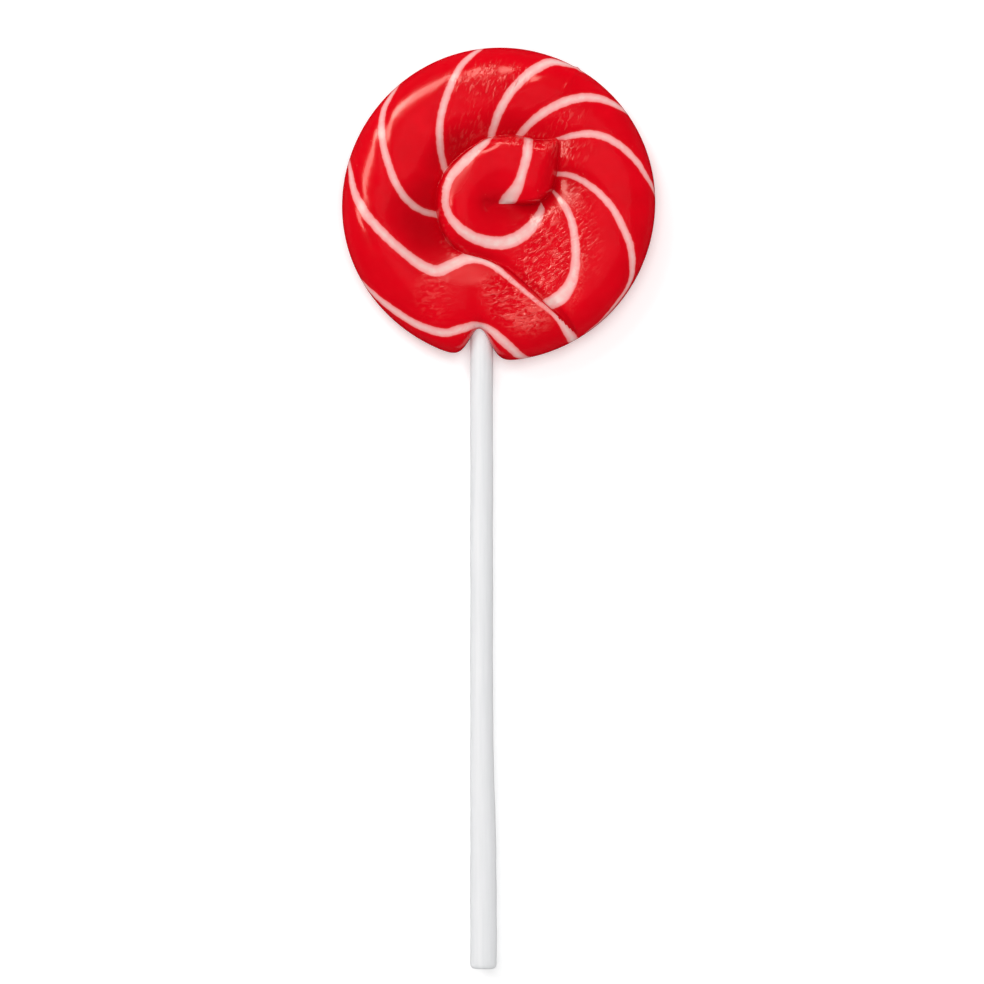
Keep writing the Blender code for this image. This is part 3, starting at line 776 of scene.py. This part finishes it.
def sugar():
    n = Nodes("boiled_sugar")
    where = n.add("ShaderNodeTexCoord").outputs["Object"]
    mm = n.mapping(where, scale=(1000, 1000, 1000))
    stripe = n.value("stripe")
    wavy = n.noise(mm, 0.9, 2.0)
    edge = n.math("ADD", stripe, n.range(wavy, 0.3, 0.7, -0.07, 0.07))
    share = n.range(edge, -0.36, 0.64, 0.0, 1.0)
    # red -> pink -> milky, from the stripe's edge to its middle
    colour = n.ramp(share, [
        (0.0, (0.0, 0.0, 0.0)), (0.25, (0.02, 0.02, 0.02)), (0.32, (0.18, 0.18, 0.18)), (0.38, (0.66, 0.66, 0.66)),
        (0.46, (0.93, 0.93, 0.93)), (0.66, (1.0, 1.0, 1.0)),
    ])
    blotch = n.noise(mm, 0.16, 3.0)
    deep = n.noise(mm, 0.55, 3.0)
    red = n.mix(n.range(blotch, 0.3, 0.7, 0.0, 1.0), (0.68, 0.0002, 0.0065), (0.78, 0.0003, 0.0085))
    red = n.mix(n.range(deep, 0.35, 0.7, 0.0, 0.35), red, (0.70, 0.0002, 0.0068))
    milk = n.mix(n.range(n.noise(mm, 0.8, 3.0), 0.3, 0.7, 0.0, 1.0), (0.94, 0.47, 0.45), (0.92, 0.63, 0.59))
    pink = (0.96, 0.31, 0.31)
    white = n.mix(n.range(edge, 0.1, 0.75, 0.0, 1.0), pink, milk)
    base = n.mix(colour, red, white)
    # Painted shade along the second turn's edge: the colour darkens towards a deep red where the groove's shade falls.
    base = n.mix(n.math("MULTIPLY", n.value("seam_shade"), 0.30), base, (0.25, 0.0002, 0.003))

    # Fine relief: worm-like wrinkles, slanted hatching and fine streaks, each on its own part of the rope, in
    # strokes whose crests also carry a painted highlight.
    def strokes(turn, along, across, low, high, mask, wander):
        line = n.mapping(n.mapping(mm, rotation=(0, 0, -turn)), scale=(along, across, 1.0))
        shape = n.math("ADD", n.noise(line, 1.0, 1.0, 0.5, wander), n.math("MULTIPLY", glint_paint_and_bump, 0.10))
        return n.math("MULTIPLY", n.range(shape, low, high, 0.0, 1.0), n.value(mask))

    glint_paint_and_bump = n.value("glint_paint_and_bump")
    worms = strokes(0.2, 0.6, 1.25, 0.47, 0.68, "worm", 0.9)
    hatch = strokes(0.66, 0.85, 2.2, 0.50, 0.71, "slant", 0.5)
    fine = strokes(1.2, 0.6, 2.0, 0.54, 0.72, "streaks", 0.6)
    grain = n.noise(mm, 3.0, 3.0, 0.6)
    swell = n.noise(mm, 0.35, 2.0)
    rough_skin = n.noise(mm, 2.2, 2.0, 0.6, 0.6)
    cells = n.add("ShaderNodeTexVoronoi", inputs={"Vector": mm, "Scale": 0.42})
    speck = n.math("MULTIPLY", n.range(cells.outputs["Distance"], 0.075, 0.035, 0.0, 1.0),
                   n.range(n.noise(mm, 0.31, 1.0), 0.52, 0.58, 0.0, 1.0))
    # Painted highlight: the strokes' crests and the small specks are painted pale salmon, as glints of the strip
    # lights.
    painted_glints = n.math("ADD", n.math("ADD", worms, hatch), n.math("ADD", fine, n.math("MULTIPLY", speck, 0.5)))
    painted_glints = n.math("MINIMUM", n.math("ADD", painted_glints, n.math("MULTIPLY", glint_paint_and_bump, n.range(rough_skin, 0.45, 0.65, 0.0, 0.7))), 1.0)
    base = n.mix(n.math("MULTIPLY", painted_glints, 0.5), base, (0.95, 0.13, 0.115))
    # Painted shade: the colour darkens in the dips, dents and the hollow under the fold.
    hollow_shade = n.mix(n.math("MULTIPLY", n.value("deep"), 0.5), (1.0, 1.0, 1.0), (0.25, 0.25, 0.22))
    base = n.mix(1.0, base, hollow_shade, "MULTIPLY")
    n.tree.links.new(base, n.shader.inputs["Base Color"])
    relief = n.math("MULTIPLY", worms, 0.11)
    relief = n.math("ADD", relief, n.math("MULTIPLY", hatch, 0.085))
    relief = n.math("ADD", relief, n.math("MULTIPLY", fine, 0.10))
    relief = n.math("ADD", relief, n.math("MULTIPLY", n.math("MULTIPLY", rough_skin, glint_paint_and_bump), 0.12))
    relief = n.math("ADD", relief, n.math("MULTIPLY", speck, 0.05))
    relief = n.math("ADD", relief, n.math("MULTIPLY", grain, 0.004))
    relief = n.math("ADD", relief, n.math("MULTIPLY", swell, 0.03))
    bump = n.add("ShaderNodeBump", inputs={"Height": relief, "Strength": 1.0, "Distance": 0.001})
    n.tree.links.new(bump.outputs[0], n.shader.inputs["Normal"])

    rough = n.math("ADD", n.range(n.noise(mm, 0.7, 3.0), 0.3, 0.7, 0.13, 0.18), n.math("MULTIPLY", n.value("dull"), 0.4))
    n.tree.links.new(rough, n.shader.inputs["Roughness"])
    n.shader.inputs["Specular IOR Level"].default_value = 0.35
    n.shader.inputs["IOR"].default_value = 1.5
    return n.material


def stick_white():
    n = Nodes("stick_white")
    where = n.add("ShaderNodeTexCoord").outputs["Object"]
    mm = n.mapping(where, scale=(1000, 1000, 1000))
    lengthwise = n.noise(n.mapping(mm, scale=(1.0, 0.05, 1.0)), 1.6, 3.0)
    cloud = n.noise(mm, 0.12, 2.0)
    base = n.mix(n.range(lengthwise, 0.3, 0.7, 0.0, 1.0), (0.79, 0.80, 0.81), (0.85, 0.855, 0.865))
    base = n.mix(n.range(cloud, 0.35, 0.65, 0.0, 0.4), base, (0.82, 0.82, 0.84))
    n.tree.links.new(base, n.shader.inputs["Base Color"])
    grain = n.noise(n.mapping(mm, scale=(1.0, 0.2, 1.0)), 5.0, 3.0)
    relief = n.math("ADD", n.math("MULTIPLY", lengthwise, 0.04), n.math("MULTIPLY", grain, 0.008))
    bump = n.add("ShaderNodeBump", inputs={"Height": relief, "Strength": 0.6, "Distance": 0.001})
    n.tree.links.new(bump.outputs[0], n.shader.inputs["Normal"])
    n.tree.links.new(n.range(grain, 0.3, 0.7, 0.42, 0.56), n.shader.inputs["Roughness"])
    return n.material


# ---------------------------------------------------------------- pieces

swirl = build_candy(sugar())
rod = build_stick(stick_white())
for piece, node, slot in ((swirl, "candy_swirl", "sugar_red"), (rod, "stick", "stick_white")):
    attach(piece, "root")
    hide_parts(node)


# ---------------------------------------------------------------- floor, light, camera

def floor():
    mesh = bpy.data.meshes.new("floor")
    mesh.from_pydata([(-4, -4, 0), (4, -4, 0), (4, 4, 0), (-4, 4, 0)], [], [(0, 1, 2, 3)])
    n = Nodes("pale_floor")
    n.shader.inputs["Base Color"].default_value = (0.92, 0.92, 0.92, 1)
    n.shader.inputs["Emission Color"].default_value = (1, 1, 1, 1)
    n.shader.inputs["Emission Strength"].default_value = 0.22
    n.shader.inputs["Roughness"].default_value = 0.9
    n.shader.inputs["Specular IOR Level"].default_value = 0.1
    mesh.materials.append(n.material)
    obj = bpy.data.objects.new("floor", mesh)
    bpy.context.scene.collection.objects.link(obj)
    obj.visible_glossy = False


def area_light(name, azimuth, zenith, away, width, height, power, glossy=True, diffuse=True, colour=(1, 1, 1), tilt=0.0):
    """An area light that faces the candy; width lies level, but for the tilt, and height runs up the sky."""
    light = bpy.data.lights.new(name, "AREA")
    light.shape = "RECTANGLE"
    light.size, light.size_y = width, height
    light.energy = power
    light.color = colour
    obj = bpy.data.objects.new(name, light)
    bpy.context.scene.collection.objects.link(obj)
    a, z = math.radians(azimuth), math.radians(zenith)
    target = Vector((DISC_X * MM, DISC_Y * MM, 0.008))
    to = Vector((math.cos(a) * math.sin(z), math.sin(a) * math.sin(z), math.cos(z)))
    obj.location = target + to * away
    obj.rotation_euler = (to.to_track_quat("Z", "Y") @ Quaternion((0, 0, 1), math.radians(tilt))).to_euler()
    obj.visible_glossy = glossy
    obj.visible_diffuse = diffuse
    obj.visible_camera = False
    return obj


floor()
area_light("key_strip", 113, 43, 1.6, 1.2, 0.35, 13.2, diffuse=False, colour=(1.0, 0.81, 0.68), tilt=-20)
area_light("side_strip", 154, 46, 1.6, 1.2, 0.35, 13.2, diffuse=False, colour=(1.0, 0.81, 0.68), tilt=17)
area_light("key_soft", 130, 48, 1.8, 0.8, 0.8, 9.6, glossy=False)
area_light("top_soft", 90, 6, 1.8, 1.1, 1.1, 18.2, glossy=False)

world = bpy.data.worlds.new("studio")
bpy.context.scene.world = world
world.use_nodes = True
tree = world.node_tree
ground = tree.nodes["Background"]
ground.inputs["Color"].default_value = (1, 1, 1, 1)
ground.inputs["Strength"].default_value = 0.36
world.cycles_visibility.glossy = False

FIELD = 0.1732
camera_data = bpy.data.cameras.new("camera")
camera_data.sensor_width = 36
away = 1.2
camera_data.lens = 36 * (away - 0.006) / FIELD
camera_data.clip_start, camera_data.clip_end = 0.01, 20
camera = bpy.data.objects.new("camera", camera_data)
bpy.context.scene.collection.objects.link(camera)
camera.location = ((DISC_X - 1.41) * MM, (DISC_Y - 50.86) * MM, away)
bpy.context.scene.camera = camera

bpy.context.scene.view_settings.view_transform = "Standard"
